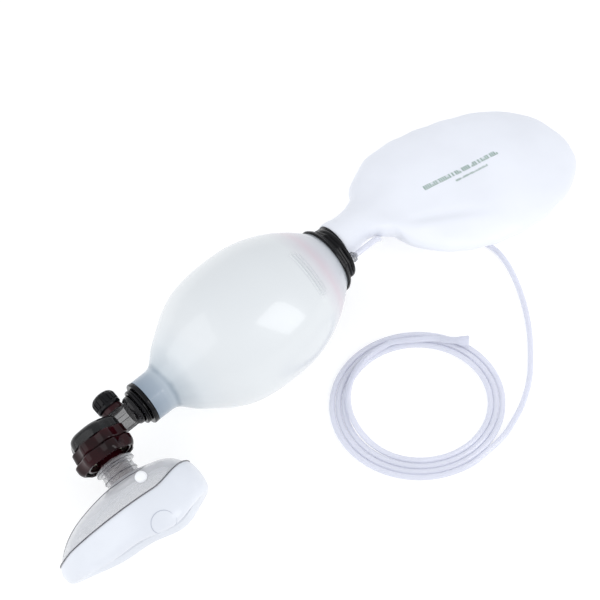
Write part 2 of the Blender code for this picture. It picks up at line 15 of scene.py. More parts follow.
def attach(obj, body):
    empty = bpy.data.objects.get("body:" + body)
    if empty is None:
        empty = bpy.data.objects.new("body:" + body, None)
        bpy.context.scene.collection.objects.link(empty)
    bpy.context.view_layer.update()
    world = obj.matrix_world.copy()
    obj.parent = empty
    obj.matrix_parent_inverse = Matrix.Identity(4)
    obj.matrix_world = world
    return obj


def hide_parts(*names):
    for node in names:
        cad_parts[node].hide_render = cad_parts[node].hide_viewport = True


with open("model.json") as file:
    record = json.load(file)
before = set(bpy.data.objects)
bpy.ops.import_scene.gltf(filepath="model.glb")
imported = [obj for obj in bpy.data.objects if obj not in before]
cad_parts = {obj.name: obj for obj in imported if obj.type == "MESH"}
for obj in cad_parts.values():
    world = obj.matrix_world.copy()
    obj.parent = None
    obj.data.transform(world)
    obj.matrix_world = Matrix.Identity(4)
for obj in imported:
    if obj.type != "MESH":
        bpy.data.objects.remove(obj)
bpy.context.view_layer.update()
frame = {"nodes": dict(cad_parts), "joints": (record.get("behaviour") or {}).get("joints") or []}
scene = bpy.context.scene
MM = 0.001
X, Y, Z = Vector((1, 0, 0)), Vector((0, 1, 0)), Vector((0, 0, 1))

# ------------------------------------------------------------------ frames of the object
joints = {joint["name"]: joint for joint in frame["joints"]}
NECK = Vector(joints["valve_swivel"]["pos_m"])
PORT = Vector(joints["mask_swivel"]["pos_m"])
MASK_AXIS = Vector(joints["mask_swivel"]["axis"]).normalized()
POPOFF_POINT = Vector(joints["popoff_cap_turn"]["pos_m"])
POPOFF_AXIS = Vector(joints["popoff_cap_turn"]["axis"]).normalized()
MASK_ROLL = math.radians(12.0)


def axes(origin, columns):
    """Matrix of a frame at origin (m) whose local axes are the three given directions."""
    turn = Matrix([Vector(column).normalized() for column in columns]).transposed()
    return Matrix.Translation(origin) @ turn.to_4x4() @ Matrix.Scale(MM, 4)


def along(origin, z_axis, x_hint):
    """Frame at origin whose z is z_axis and whose x is as near as it can be to x_hint."""
    z_axis = Vector(z_axis).normalized()
    y_axis = z_axis.cross(Vector(x_hint)).normalized()
    return axes(origin, (y_axis.cross(z_axis), y_axis, z_axis))


level = MASK_AXIS.cross(Z).normalized()
level = level if level.x > 0 else -level
mask_long = Matrix.Rotation(-MASK_ROLL, 3, MASK_AXIS) @ level
if mask_long.z < 0:
    mask_long = Matrix.Rotation(MASK_ROLL, 3, MASK_AXIS) @ level

LAYOUT = axes(Vector((NECK.x, NECK.y, 0)), (X, Y, Z))
BAG = axes(NECK, (Y, Z, X))
VALVE = along(NECK, X, -POPOFF_AXIS)
HOUSING = along(PORT, MASK_AXIS, X)
MASK = along(PORT, MASK_AXIS, mask_long)
POPOFF = along(POPOFF_POINT, POPOFF_AXIS, X)
RESERVOIR_PORT = BAG @ Matrix.Translation((8, 0, 0))

# ------------------------------------------------------------------ camera
camera = bpy.data.objects.new("camera", bpy.data.cameras.new("camera"))
scene.collection.objects.link(camera)
camera.data.lens = 80
camera.data.sensor_width = 36
target = Vector((-0.0047, 0.0172, 0.03))
camera.location = Vector((-0.4073, -0.4277, 1.0692))
camera.rotation_mode = "QUATERNION"
camera.rotation_quaternion = (target - camera.location).to_track_quat("-Z", "Y")
scene.camera = camera


# ------------------------------------------------------------------ materials
def new_material(name):
    """An empty node material, its node maker and its Principled shader."""
    material = bpy.data.materials.new(name)
    material.use_nodes = True
    tree = material.node_tree
    shader = tree.nodes["Principled BSDF"]

    def make(kind, **values):
        node = tree.nodes.new(kind)
        for key, value in values.items():
            if key in node.inputs:
                node.inputs[key].default_value = value
            else:
                setattr(node, key, value)
        return node
    return material, tree, shader, make


def ramp(make, tree, value, stops):
    """Colour ramp over value; stops are (position, colour)."""
    node = make("ShaderNodeValToRGB")
    while len(node.color_ramp.elements) < len(stops):
        node.color_ramp.elements.new(0.5)
    for element, (position, colour) in zip(node.color_ramp.elements, stops):
        element.position = position
        element.color = (*colour, 1.0)
    tree.links.new(value, node.inputs["Fac"])
    return node.outputs["Color"]


def mottled(make, tree, base, amount, scale):
    """base colour, brighter and darker by amount in soft patches."""
    place = make("ShaderNodeTexCoord")
    cloud = make("ShaderNodeTexNoise", Scale=scale, Detail=3.0)
    tree.links.new(place.outputs["Object"], cloud.inputs["Vector"])
    low = tuple(max(0.0, c * (1 - amount)) for c in base)
    high = tuple(min(1.0, c * (1 + amount)) for c in base)
    return ramp(make, tree, cloud.outputs["Fac"], [(0.3, low), (0.7, high)])


def fine_bump(make, tree, shader, scale, strength):
    """Small-scale relief on a shader."""
    place = make("ShaderNodeTexCoord")
    grain = make("ShaderNodeTexNoise", Scale=scale, Detail=4.0)
    bump = make("ShaderNodeBump", Strength=strength, Distance=0.0004)
    tree.links.new(place.outputs["Object"], grain.inputs["Vector"])
    tree.links.new(grain.outputs["Fac"], bump.inputs["Height"])
    tree.links.new(bump.outputs["Normal"], shader.inputs["Normal"])
    return grain.outputs["Fac"]


def rough_patches(make, tree, shader, grain, low, high):
    """Roughness that follows the grain between two values."""
    spread = make("ShaderNodeMapRange")
    spread.inputs["To Min"].default_value = low
    spread.inputs["To Max"].default_value = high
    tree.links.new(grain, spread.inputs["Value"])
    tree.links.new(spread.outputs["Result"], shader.inputs["Roughness"])


def soft_plastic(name, colour, rough, amount=0.03, scale=30.0, grain=300.0, bump=0.05, coat=0.0, shine=0.5):
    """Opaque moulded material; amount and scale are its mottling, grain and bump its relief."""
    material, tree, shader, make = new_material(name)
    tree.links.new(mottled(make, tree, colour, amount, scale), shader.inputs["Base Color"])
    fac = fine_bump(make, tree, shader, grain, bump)
    rough_patches(make, tree, shader, fac, rough * 0.8, rough * 1.25)
    shader.inputs["Coat Weight"].default_value = coat
    shader.inputs["Coat Roughness"].default_value = 0.05
    shader.inputs["Specular IOR Level"].default_value = shine
    return material


def see_through(name, colour, rough, face, edge, amount=0.04, coat=0.4, shine=0.5):
    """Clear or tinted moulding whose opacity goes from face, seen square on, to edge."""
    material, tree, shader, make = new_material(name)
    tree.links.new(mottled(make, tree, colour, amount, 20.0), shader.inputs["Base Color"])
    fac = fine_bump(make, tree, shader, 90.0, 0.03)
    rough_patches(make, tree, shader, fac, rough * 0.7, rough * 1.4)
    facing = make("ShaderNodeLayerWeight", Blend=0.35)
    spread = make("ShaderNodeMapRange")
    spread.inputs["To Min"].default_value = face
    spread.inputs["To Max"].default_value = edge
    tree.links.new(facing.outputs["Facing"], spread.inputs["Value"])
    tree.links.new(spread.outputs["Result"], shader.inputs["Alpha"])
    shader.inputs["Coat Weight"].default_value = coat
    shader.inputs["Coat Roughness"].default_value = 0.04
    shader.inputs["Specular IOR Level"].default_value = shine
    return material


def bag_silicone():
    """Milky silicone, painted darker and tinted towards both ends: painted see-through shade where the dark
    neck parts and the burgundy intake valve sit behind the wall.
    """
    material, tree, shader, make = new_material("silicone_milky")
    place = make("ShaderNodeTexCoord")
    split = make("ShaderNodeSeparateXYZ")
    cloud = make("ShaderNodeTexNoise", Scale=55.0, Detail=2.0)
    tree.links.new(place.outputs["Object"], split.inputs["Vector"])
    tree.links.new(place.outputs["Object"], cloud.inputs["Vector"])
    wander = make("ShaderNodeMath", operation="MULTIPLY_ADD")
    wander.inputs[1].default_value = 0.004
    tree.links.new(cloud.outputs["Fac"], wander.inputs[0])
    tree.links.new(split.outputs["X"], wander.inputs[2])
    share = make("ShaderNodeMapRange")
    share.inputs["From Min"].default_value = NECK.x + 0.002
    share.inputs["From Max"].default_value = NECK.x + 0.208
    tree.links.new(wander.outputs[0], share.inputs["Value"])
    body = (0.72, 0.745, 0.76)
    # painted see-through shade: these stops darken both ends and tint the intake end pink where dark parts
    # sit inside the wall
    stops = [(0.0, (0.24, 0.30, 0.37)), (0.055, (0.33, 0.39, 0.46)), (0.085, (0.42, 0.48, 0.54)),
             (0.10, (0.31, 0.37, 0.43)), (0.113, (0.52, 0.575, 0.62)), (0.18, (0.69, 0.725, 0.75)),
             (0.26, body), (0.80, body), (0.85, (0.66, 0.655, 0.69)), (0.885, (0.63, 0.56, 0.61)),
             (0.93, (0.57, 0.575, 0.62)), (1.0, (0.47, 0.51, 0.54))]
    tree.links.new(ramp(make, tree, share.outputs["Result"], stops), shader.inputs["Base Color"])
    fac = fine_bump(make, tree, shader, 60.0, 0.03)
    rough_patches(make, tree, shader, fac, 0.30, 0.40)
    shader.inputs["Coat Weight"].default_value = 0.55
    shader.inputs["Coat Roughness"].default_value = 0.06
    return material


def reservoir_film():
    """Frosted film, bluish, with faint cloudiness."""
    material, tree, shader, make = new_material("film_frosted")
    tree.links.new(mottled(make, tree, (0.83, 0.85, 0.91), 0.03, 14.0), shader.inputs["Base Color"])
    fac = fine_bump(make, tree, shader, 120.0, 0.06)
    rough_patches(make, tree, shader, fac, 0.34, 0.50)
    return material


SILICONE = bag_silicone()
FILM = reservoir_film()
CUSHION = soft_plastic("silicone_cushion", (0.74, 0.765, 0.82), 0.34, 0.03, 22.0, 80.0, 0.03, coat=0.2)
BLACK = soft_plastic("polysulfone_black", (0.003, 0.003, 0.004), 0.10, 0.25, 60.0, bump=0.03, shine=0.20)
BURGUNDY = soft_plastic("polysulfone_burgundy", (0.016, 0.0012, 0.0025), 0.09, 0.7, 45.0, 200.0, 0.03,
                        shine=0.22)
SMOKE = see_through("polysulfone_smoke", (0.010, 0.010, 0.011), 0.09, 0.84, 0.98, 0.2, coat=0.0, shine=0.32)
ARM_SMOKE = see_through("polysulfone_smoke_arm", (0.055, 0.053, 0.054), 0.12, 0.48, 0.98, 0.2, coat=0.0,
                        shine=0.35)
CONE = see_through("polysulfone_cone", (0.22, 0.17, 0.18), 0.08, 0.35, 0.9, 0.1)
CLEAR = see_through("polycarbonate_clear", (0.64, 0.65, 0.68), 0.07, 0.15, 0.86)
# painted shade: near-black for the dark lines at the clear shell's edges
EDGE_SHADE_DARK = see_through("painted_edge_shade", (0.045, 0.045, 0.06), 0.12, 0.92, 1.0)
COLLAR_CLEAR = see_through("polycarbonate_collar", (0.42, 0.42, 0.44), 0.04, 0.12, 0.97, 0.05, coat=1.0)
PORT_CLEAR = see_through("polycarbonate_port", (0.42, 0.43, 0.47), 0.06, 0.42, 0.92)
# painted highlight: white for a small bump that stands in for a reflection on the dome's crown
HIGHLIGHT_WHITE = soft_plastic("painted_highlight_white", (0.90, 0.91, 0.93), 0.3)
FLAP = soft_plastic("silicone_flap", (0.62, 0.58, 0.46), 0.4, 0.05, 80.0)
SEAL = soft_plastic("rubber_seal", (0.03, 0.03, 0.03), 0.6, 0.2, 90.0)
TUBING = see_through("tubing_clear", (0.80, 0.815, 0.92), 0.16, 0.62, 0.90, 0.03)
PRINT = soft_plastic("print_green", (0.10, 0.24, 0.16), 0.5, 0.10, 160.0)
# painted shade: grey of the grooves beside the bag's raised lines
GROOVE_SHADE_GREY = soft_plastic("painted_groove_shade", (0.64, 0.66, 0.69), 0.4, 0.05, 60.0)
MARK = soft_plastic("mark_grey", (0.47, 0.50, 0.57), 0.4, 0.05, 60.0)


def spring_steel():
    """Drawn steel wire."""
    material, tree, shader, make = new_material("steel_wire")
    tree.links.new(mottled(make, tree, (0.55, 0.55, 0.57), 0.08, 300.0), shader.inputs["Base Color"])
    shader.inputs["Metallic"].default_value = 1.0
    rough_patches(make, tree, shader, fine_bump(make, tree, shader, 1500.0, 0.1), 0.18, 0.35)
    return material


STEEL = spring_steel()
INNER_PIECES = {                     # CAD nodes that show as they are
    STEEL: ["popoff_spring"],
    SEAL: ["intake_seal"],
    BURGUNDY: ["intake_valve_post", "intake_valve_seat", "lip_valve_ring", "popoff_seat"],
    FLAP: ["lip_valve", "exhalation_diaphragm", "intake_valve_disc", "air_inlet_flap", "relief_flap",
           "popoff_disc"]}
for material, names in INNER_PIECES.items():
    for name in names:
        slots = frame["nodes"][name].data.materials
        slots.clear()
        slots.append(material)


# ------------------------------------------------------------------ mesh helpers
def finish(name, bm, material, body, nodes=(), angle=38):
    """Turn a bmesh in world metres into a smooth piece that rides on a body."""
    bmesh.ops.recalc_face_normals(bm, faces=bm.faces)
    mesh = bpy.data.meshes.new(name)
    bm.to_mesh(mesh)
    bm.free()
    mesh.materials.append(material)
    mesh.shade_smooth()
    mesh.set_sharp_from_angle(angle=math.radians(angle))
    piece = bpy.data.objects.new(name, mesh)
    scene.collection.objects.link(piece)
    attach(piece, body)
    if nodes:
        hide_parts(*nodes)
    return piece


def skin(bm, rings, matrix, loop=False):
    """Bridge rings of points (mm, in the frame of matrix); a one-point ring is a pole."""
    made = [[bm.verts.new(matrix @ Vector(point)) for point in ring] for ring in rings]
    pairs = list(zip(made, made[1:]))
    if loop:
        pairs.append((made[-1], made[0]))
    for low, high in pairs:
        count = max(len(low), len(high))
        for i in range(count):
            j = (i + 1) % count
            corners = [low[i % len(low)], low[j % len(low)], high[j % len(high)], high[i % len(high)]]
            bm.faces.new(list(dict.fromkeys(corners)))


def rounded(profile, loop):
    """Profile (radius, z, fillet, wave depth) with its corners rounded, as (radius, z, wave)."""
    steps = 4
    points = [Vector((p[0], p[1], p[3] if len(p) > 3 else 0.0)) for p in profile]
    sizes = [p[2] if len(p) > 2 else 0.0 for p in profile]
    line = []
    for i, (here, size) in enumerate(zip(points, sizes)):
        if size == 0 or (not loop and i in (0, len(points) - 1)):
            line.append(here)
            continue
        legs = []
        for other in (points[i - 1], points[(i + 1) % len(points)]):
            reach = (other - here).to_2d().length
            legs.append(here.lerp(other, min(size / reach, 0.48)))
        for k in range(steps + 1):
            t = k / steps
            line.append(legs[0] * (1 - t) ** 2 + here * (2 * t * (1 - t)) + legs[1] * t * t)
    return line


def ease(value):
    """0 below 0, 1 above 1, smooth between."""
    value = min(max(value, 0.0), 1.0)
    return value * value * (3 - 2 * value)


def still(angle):
    """A round section."""
    return 0.0


def lobes(count, phase=0.0, sharp=1.0):
    """Scallops round a section, from -1 to 1; sharp below 1 broadens the lobes."""
    def wave(angle):
        value = math.cos(count * (angle - math.radians(phase)))
        return math.copysign(abs(value) ** sharp, value)
    return wave


def facets(sides, radius, soft=0.0):
    """How far a polygon's sides stand inside its corner circle, in mm."""
    half = math.pi / sides

    def inset(angle):
        part = angle % (2 * half) - half
        return (1 - soft) * (radius * math.cos(half) / math.cos(part) - radius)
    return inset


def ring_at(height, segments, reach):
    """Ring of points round the z axis; reach(angle) is its radius."""
    ring = []
    for i in range(segments):
        angle = 2 * math.pi * i / segments
        wide = reach(angle)
        ring.append((wide * math.cos(angle), wide * math.sin(angle), height))
    return ring


def lathe_rings(profile, wave=still, segments=96):
    """Rings of a turned profile; it is closed unless it starts on the axis."""
    loop = profile[0][0] != 0
    rings = []
    for radius, height, depth in rounded(profile, loop):
        if radius == 0:
            rings.append([(0, 0, height)])
        else:
            rings.append(ring_at(height, segments, lambda angle: radius + depth * wave(angle)))
    return rings, loop


def turned(name, profile, matrix, material, body, nodes=(), wave=still, segments=96):
    """A turned piece with rounded corners."""
    rings, loop = lathe_rings(profile, wave, segments)
    bm = bmesh.new()
    skin(bm, rings, matrix, loop)
    return finish(name, bm, material, body, nodes)


def bead(name, line, thick, matrix, material, body, closed=False):
    """Thin round bead along a line of points."""
    bm = bmesh.new()
    rings = []
    count, sides = len(line), 8
    for i, point in enumerate(line):
        before = line[i - 1] if closed or i else point
        after = line[(i + 1) % count] if closed or i < count - 1 else point
        way = (after - before).normalized()
        side = way.cross(Z if abs(way.z) < 0.9 else X).normalized()
        up = side.cross(way)
        taper = 1.0 if closed else min(1.0, 0.25 + 4 * min(i, count - 1 - i) / count)
        rings.append([point + (side * math.cos(a) + up * math.sin(a)) * thick * taper
                      for a in (2 * math.pi * k / sides for k in range(sides))])
    if not closed:
        rings = [[line[0]]] + rings + [[line[-1]]]
    skin(bm, rings, matrix, loop=closed)
    return finish(name, bm, material, body)


def tree_of(piece):
    """Ray-casting tree of a finished piece."""
    bm = bmesh.new()
    bm.from_mesh(piece.data)
    tree = BVHTree.FromBMesh(bm)
    bm.free()
    return tree


def catmull(points, steps):
    """Smooth curve through points (tuples or Vectors), steps per span."""
    route = [Vector(point) for point in points]
    route = [2 * route[0] - route[1]] + route + [2 * route[-1] - route[-2]]
    fine = []
    for a, b, c, d in zip(route, route[1:], route[2:], route[3:]):
        for step in range(steps):
            t = step / steps
            fine.append(0.5 * (2 * b + (c - a) * t + (2 * a - 5 * b + 4 * c - d) * t * t
                               + (3 * b - 3 * c + d - a) * t ** 3))
    fine.append(route[-2])
    return fine


def evenly(line, spacing):
    """Points about spacing apart along a fine polyline."""
    total = sum((q - p).length for p, q in zip(line, line[1:]))
    count = round(total / spacing)
    even, travelled = [line[0]], 0.0
    for p, q in zip(line, line[1:]):
        step = (q - p).length
        while len(even) < count and travelled + step >= total * len(even) / count:
            even.append(p.lerp(q, (total * len(even) / count - travelled) / step))
        travelled += step
    even.append(line[-1])
    return even, total


# ------------------------------------------------------------------ oxygen tube and coil
TUBE_RADIUS = 2.6
TUBE_ROUTE = [(223.8, -17.4, 73.4), (230, -17.4, 73.4), (237, -17.4, 73.4), (244.5, -17.2, 73.0),
              (251, -16.3, 70.2), (255.4, -14.9, 65), (258.4, -13, 59), (261.7, -10.8, 52.5),
              (266.4, -5.2, 41.4), (271.4, 1.6, 29.5), (277, 8, 19), (284, 12.2, 10.8), (293, 12.6, 5.8),
              (304, 7.6, 3.4), (316, -2, 2.8), (328.5, -15, 2.8), (340, -31, 2.8), (350.5, -48.5, 2.8),
              (358, -65, 2.8), (358, -80, 2.8), (353, -97, 2.8), (344.5, -115, 2.8), (332.5, -134.5, 2.8),
              (318, -153, 2.8), (301, -170.5, 2.8), (282, -186.5, 2.8), (261, -198.4, 2.8),
              (240, -205.6, 2.8), (222, -209.4, 2.8)]
COIL_CENTRE = Vector((193.0, -136.6, 0))
COIL_HALF = (79.2, 71.4)
COIL_TURN = math.radians(148)
COIL_STEP = 5.3                  # the strands lie side by side
COIL_START, COIL_SWEEP = 128.0, 1311.0      # degrees on the oval, clockwise from above
CLIMB_FROM, CLIMB = 3.18, 5.4    # after these turns the last strand climbs on the others
TUCK = 7.6                       # how far it moves inwards there
END_LIFT_FROM, END_LIFT = 3.48, 2.3
CONNECTOR = Vector((249.7, -108.1, 10.7))
CONNECTOR_WAY = Vector((0.68, -0.73, 0)).normalized()


def coil_points():
    """Centreline of the coil, outside strand first."""
    points = []
    steps = round(COIL_SWEEP / 10)
    for i in range(1, steps - 1):
        turns = COIL_SWEEP * i / steps / 360
        angle = math.radians(COIL_START) - 2 * math.pi * turns
        inward = COIL_STEP * turns - TUCK * ease((turns - CLIMB_FROM - 0.08) / 0.36)
        loose = 0.35 * math.sin(2.3 * angle + turns)
        flat = Vector(((COIL_HALF[0] - inward + loose) * math.cos(angle),
                       (COIL_HALF[1] - inward + loose) * math.sin(angle), 0))
        height = 2.8 + CLIMB * ease((turns - CLIMB_FROM) / 0.16)
        height += END_LIFT * ease((turns - END_LIFT_FROM) / 0.12)
        points.append(Matrix.Rotation(COIL_TURN, 3, "Z") @ flat + COIL_CENTRE + Z * height)
    return points


def oxygen_tube():
    """Clear tube from the nipple, under the reservoir bag and round the coil."""
    points = [Vector(p) for p in TUBE_ROUTE] + coil_points()
    points += [CONNECTOR - CONNECTOR_WAY * 9, CONNECTOR + CONNECTOR_WAY * 4]
    line, total = evenly(catmull(points, 12), 2.2 * TUBE_RADIUS)
    curve = bpy.data.curves.new("oxygen_tube_strand", "CURVE")
    curve.dimensions = "3D"
    curve.bevel_depth = TUBE_RADIUS * MM
    curve.bevel_resolution = 4
    curve.use_fill_caps = True
    spline = curve.splines.new("POLY")
    spline.points.add(len(line) - 1)
    for knot, point in zip(spline.points, line):
        knot.co = (*(LAYOUT @ point), 1.0)
    spline.use_smooth = True
    curve.materials.append(TUBING)
    tube = bpy.data.objects.new("oxygen_tube_strand", curve)
    scene.collection.objects.link(tube)
    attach(tube, "bag")
    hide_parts("oxygen_tube", "oxygen_tube_coil")
    return tube, total * MM, LAYOUT @ line[0]


def tube_connector():
    """Flared soft socket on the tube's end."""
    matrix = along(LAYOUT @ CONNECTOR, CONNECTOR_WAY, Z)
    profile = [(2.7, -1.5, 0.1), (2.95, 0.6, 0.4), (3.0, 3), (3.1, 13, 2), (4.6, 17.2, 2), (4.9, 21.2, 0.3),
               (5.3, 21.9, 0.3), (5.3, 24, 0.5), (4.6, 24, 0.4), (4.2, 18, 2), (2.6, 13.5, 1),
               (2.6, 5.5, 0.3), (1.6, 5, 0.3), (1.6, -1.5)]
    return turned("oxygen_connector", profile, matrix, TUBING, "bag", ["tube_connector"],
                  segments=48)


tube, tube_length, tube_start = oxygen_tube()
connector = tube_connector()

# ------------------------------------------------------------------ squeeze bag
# radius and distance from the neck's face
BAG_LINE = [(19.45, 0.3), (19.5, 6), (19.55, 12), (19.75, 16.5), (21.3, 21.0), (26.3, 26.6), (33.5, 34),
            (42.5, 46.5), (51.5, 60), (59.0, 77), (62.8, 98), (63.55, 122), (62.0, 141), (57.2, 159),
            (50.2, 175), (41.2, 189.5), (33.7, 199.2), (30.4, 203.6), (29.9, 206.0)]
BAG_WALL = 2.4
MARKS_AT = (163.4, 166.5, 169.6)     # raised lines near the intake end
MARKS_GAP = MARKS_AT[1] - MARKS_AT[0]
MARKS_FACE = 114                     # their direction round the bag's axis, in degrees
MARKS_SPREAD = 47.0                  # the angle that they cover


def bag_relief(height, angle):
    """Raised lines on the bag's upper side and its two parting lines."""
    apart = (angle - math.radians(MARKS_FACE) + math.pi) % (2 * math.pi) - math.pi
    window = 1 - ease((abs(apart) - 0.40) / 0.07)
    lines = sum(math.exp(-((height - at) / 0.62) ** 2) for at in MARKS_AT)
    parting = math.exp(-(math.sin(angle) / 0.012) ** 2) if 24 < height < 203 else 0.0
    return window * lines + 0.10 * parting


def squeeze_bag():
    """Blown silicone bag, a shell open at both ends, with finer rings at its raised lines."""
    line = catmull([(r, z, 0) for r, z in BAG_LINE], 8)
    fine = []
    for a, b in zip(line, line[1:]):
        fine.append(a)
        if 160 < b.y < 174:
            fine += [a.lerp(b, k / 6) for k in range(1, 6)]
    fine.append(line[-1])
    rings = [ring_at(p.y, 160, lambda angle: p.x + bag_relief(p.y, angle)) for p in fine]
    rings += [ring_at(p.y, 160, lambda angle: p.x - BAG_WALL) for p in line[::-4]]
    bm = bmesh.new()
    skin(bm, rings, BAG, loop=True)
    return finish("silicone_bag", bm, SILICONE, "bag", ["squeeze_bag"])


squeeze_bag()


def bag_groove_shades():
    """Thin grey beads beside and between the bag's raised lines, painted shade of the grooves."""
    profile = catmull([(r, z, 0) for r, z in BAG_LINE], 40)
    steps = 40
    for k in range(4):
        height = MARKS_AT[0] + MARKS_GAP * (k - 0.5)
        radius = min(profile, key=lambda point: abs(point.y - height)).x
        line = []
        for i in range(steps + 1):
            angle = math.radians(MARKS_FACE + MARKS_SPREAD * (i / steps - 0.5))
            line.append(Vector((radius * math.cos(angle), radius * math.sin(angle), height)))
        bead("bag_groove_shade_%d" % (k + 1), line, 0.26, BAG, GROOVE_SHADE_GREY, "bag")


bag_groove_shades()

# ------------------------------------------------------------------ neck and intake hardware
turned("neck_flange", [(19.2, -3.9, 0.5), (19.7, -3.2, 0.3), (19.7, -0.9, 0.4), (19.2, -0.2, 0.3),
                       (16.6, 0, 0.2), (16.6, 20, 0.6), (15.7, 21, 0.4), (12.6, 21, 0.3), (12.6, -3.9, 0.5)],
       BAG, BLACK, "bag", ["neck_adapter"])
turned("clamp_lip", [(30.9, 203.6, 0.3), (31.9, 203.8, 0.4), (32.0, 205.6, 0.4), (31.0, 206.2, 0.3),
                     (30.4, 208.0, 0.5), (29.2, 208.3, 0.3), (24.0, 208.3), (24.0, 206.3), (30.7, 206.3)],
       BAG, BLACK, "bag", ["intake_flange"], segments=128)
GRIP = 26.9                          # corner radius of the ten-sided ring
turned("grip_ring_ribbed", [(GRIP - 1.2, 208.5, 0.3, 1), (GRIP, 209.2, 0.5, 1), (GRIP, 211.2, 0.15, 1),
                            (GRIP - 0.5, 211.5, 0.15, 1), (GRIP, 211.8, 0.15, 1), (GRIP, 213.7, 0.5, 1),
                            (GRIP - 1.2, 214.7, 0.3, 1), (22.5, 214.7), (22.5, 208.5)],
       BAG, BLACK, "bag", ["grip_ring"], facets(10, GRIP, 0.1), 160)


def end_plate():
    """End plate with its port, flap windows and a small raised rim."""
    body = [(0, 214.9), (20.2, 214.9), (20.2, 209), (22.2, 209), (22.2, 214.8), (25.0, 214.9, 0.4),
            (25.6, 216.4, 0.5), (25.2, 218.2, 0.6), (23.6, 218.6, 0.4), (23.0, 217.8, 0.3),
            (21.0, 217.6, 0.2), (0, 217.6)]
    piece = turned("inlet_plate", body, BAG, BLACK, "bag", ["inlet_manifold"])
    holes = [(7, 0, 12.6, 40), (-15.83, 8.92, 0.9, 16)]     # place, radius and sides: port, oxygen
    for across, up in ((-14.0, -3.0), (-10.8, -12.6)):      # four gas holes behind each flap
        holes += [(across + 1.8 * math.cos(k * math.pi / 2), up + 1.8 * math.sin(k * math.pi / 2), 0.7, 12)
                  for k in range(4)]
    bm = bmesh.new()
    for across, up, radius, count in holes:
        matrix = BAG @ Matrix.Translation((across, up, 0))
        rings, _ = lathe_rings([(0, 212), (radius, 212), (radius, 220), (0, 220)], segments=count)
        skin(bm, rings, matrix)
    bmesh.ops.recalc_face_normals(bm, faces=bm.faces)
    mesh = bpy.data.meshes.new("hole_tool")
    bm.to_mesh(mesh)
    bm.free()
    tool = bpy.data.objects.new("hole_tool", mesh)
    scene.collection.objects.link(tool)
    cut = piece.modifiers.new("holes", "BOOLEAN")
    cut.operation = "DIFFERENCE"
    cut.solver = "EXACT"
    cut.object = tool
    bpy.context.view_layer.update()
    shaped = bpy.data.meshes.new_from_object(piece.evaluated_get(bpy.context.evaluated_depsgraph_get()))
    piece.modifiers.clear()
    piece.data = shaped
    bpy.data.objects.remove(tool)
    piece.data.shade_smooth()
    piece.data.set_sharp_from_angle(angle=math.radians(38))
    return piece


end_plate()
nipple_matrix = BAG @ Matrix.Translation((-17.4, 9.8, 0))
turned("nipple_barbed", [(3.9, 217.9, 0.3), (3.9, 219.2, 0.2), (3.5, 219.4, 0.2), (3.5, 220.3, 0.2),
                         (4.9, 220.7, 0.3), (4.9, 221.6, 0.3), (4.1, 221.9, 0.2), (4.1, 222.4, 0.2),
                         (4.7, 222.6, 0.3), (4.7, 223.3, 0.3), (3.1, 223.6, 0.2), (2.4, 226.0, 0.3),
                         (1.2, 226.0), (1.2, 217.9)],
       nipple_matrix, PORT_CLEAR, "bag", ["oxygen_nipple"], segments=48)
turned("reservoir_port_clear", [(16.4, 217.9, 0.2), (16.4, 231.5, 0.5), (13.2, 231.5, 0.5), (13.2, 217.9)],
       RESERVOIR_PORT, PORT_CLEAR, "bag", ["reservoir_port"])
turned("port_collar", [(19.7, 217.5, 0.3), (19.9, 219.0, 0.4), (19.2, 219.8, 0.3), (19.4, 222.4, 0.5),
                       (18.3, 223.2, 0.4), (16.6, 223.2), (16.6, 217.5)],
       BAG @ Matrix.Translation((7.0, 0, 0)), BLACK, "bag")

# ------------------------------------------------------------------ reservoir bag
# x, y, centre height, half width, half thickness
SECTIONS = [(222.6, 8.2, 63.7, 19.3, 19.3), (225, 8.4, 63.8, 19.7, 19.7), (232.1, 8.8, 63.2, 19.0, 18.6),
            (247, 11, 60.5, 17.2, 15.2), (261, 12.5, 57, 19.7, 14), (272, 12.5, 53, 27, 14.2),
            (283, 12.5, 49, 39.5, 15), (300, 10.3, 43, 54, 17), (324, 6.3, 36, 65.5, 19),
            (352, 0, 30, 71.5, 20.5), (382, -7.3, 25, 73.5, 21.5), (410, -13.2, 21.5, 71.7, 21.2),
            (436, -18.4, 19.2, 66.3, 18.9), (458, -23.4, 16.8, 57, 16.4), (476, -27.2, 14.5, 44.8, 13.5),
            (488, -29.6, 12.8, 31, 9.6), (494.5, -30.5, 12, 14, 5)]
RESERVOIR_TIP = Vector((496.5, -31, 12))
FILM_WALL = 0.7


def reservoir_wrinkle(x, y, up):
    """Creases of the slack film, in mm, added along z on the upper (up > 0) or lower face."""
    point = Vector((x, y, up * 30)) * 0.021
    slack = noise.noise(point) + 0.35 * noise.noise(point * 3.1)
    fan = 0.0
    if x > 240:
        spoke = math.atan2(y - 12, x - 236)
        near = math.exp(-((x - 285) / 34) ** 2)
        fan = 1.1 * near * math.sin(11 * spoke + 1.2)
    t = (x - 288) / 70           # along the long fold on the near side, which starts at the neck
    fold = 0.0
    if 0 < t < 1.3 and up > 0:
        away = y - (-15.5 - 20 * t - 10 * t * t)
        fade = ease(t / 0.2) * (1 - ease((t - 0.7) / 0.6))
        fold = fade * (1.2 * math.exp(-((away + 9) / 6.5) ** 2) - 2.0 * math.exp(-(away / 5) ** 2))
    return slack + fan + fold


